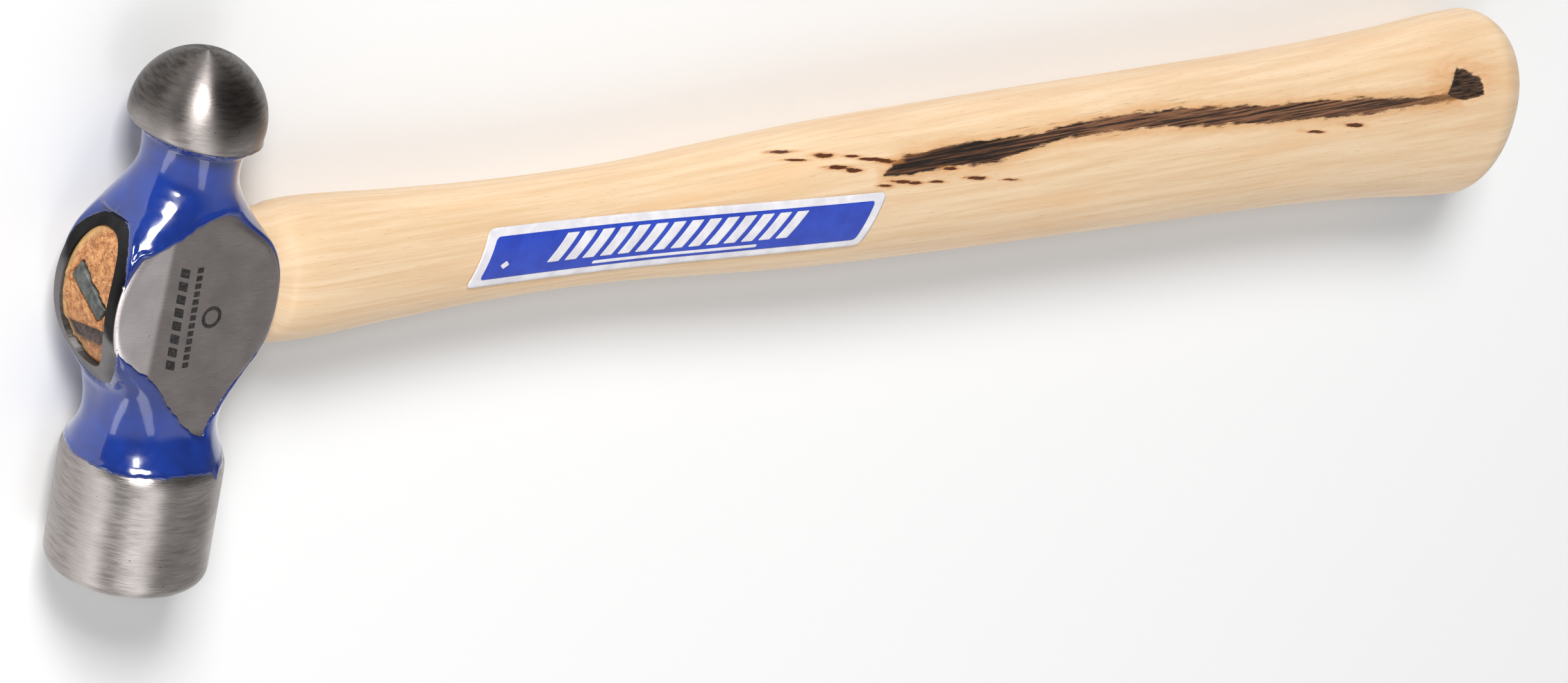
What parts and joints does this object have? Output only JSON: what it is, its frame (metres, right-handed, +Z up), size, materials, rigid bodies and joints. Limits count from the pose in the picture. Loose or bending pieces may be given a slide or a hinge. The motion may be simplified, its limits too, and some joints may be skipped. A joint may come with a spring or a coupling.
{
  "type": "ball-peen hammer",
  "caption": "Hand hammer with a flat round face, a ball peen, a flat-cheeked blue steel head and an oval, waisted hickory handle.",
  "frame": {"origin": "on the ground under the middle of the hammer's bounding box, with the hammer lying on its side", "axes": "+X along the handle from the head to the butt, +Y along the head from the striking face to the ball, +Z up out of the labelled side"},
  "size_m": [0.3158, 0.0858, 0.0254],
  "materials": {
    "blue_enamel": "deep blue gloss enamel, brushed on thick, on the head's body and both necks",
    "bare_steel": "bare ground steel of the cheeks, eye end, poll and ball",
    "mark_ink": "dark etched mark on the shown cheek",
    "label_white": "white paper and print of the label",
    "hickory": "pale straight-grained hickory, satin lacquer",
    "wedge_steel": "dull grey-green mild steel",
    "label_print": "blue printed field of the label, semi-gloss"
  },
  "bodies": {
    "root": {"hammer_head": "blue_enamel", "handle": "hickory", "steel_wedge": "wedge_steel", "label": "label_print"}
  },
  "joints": []
}
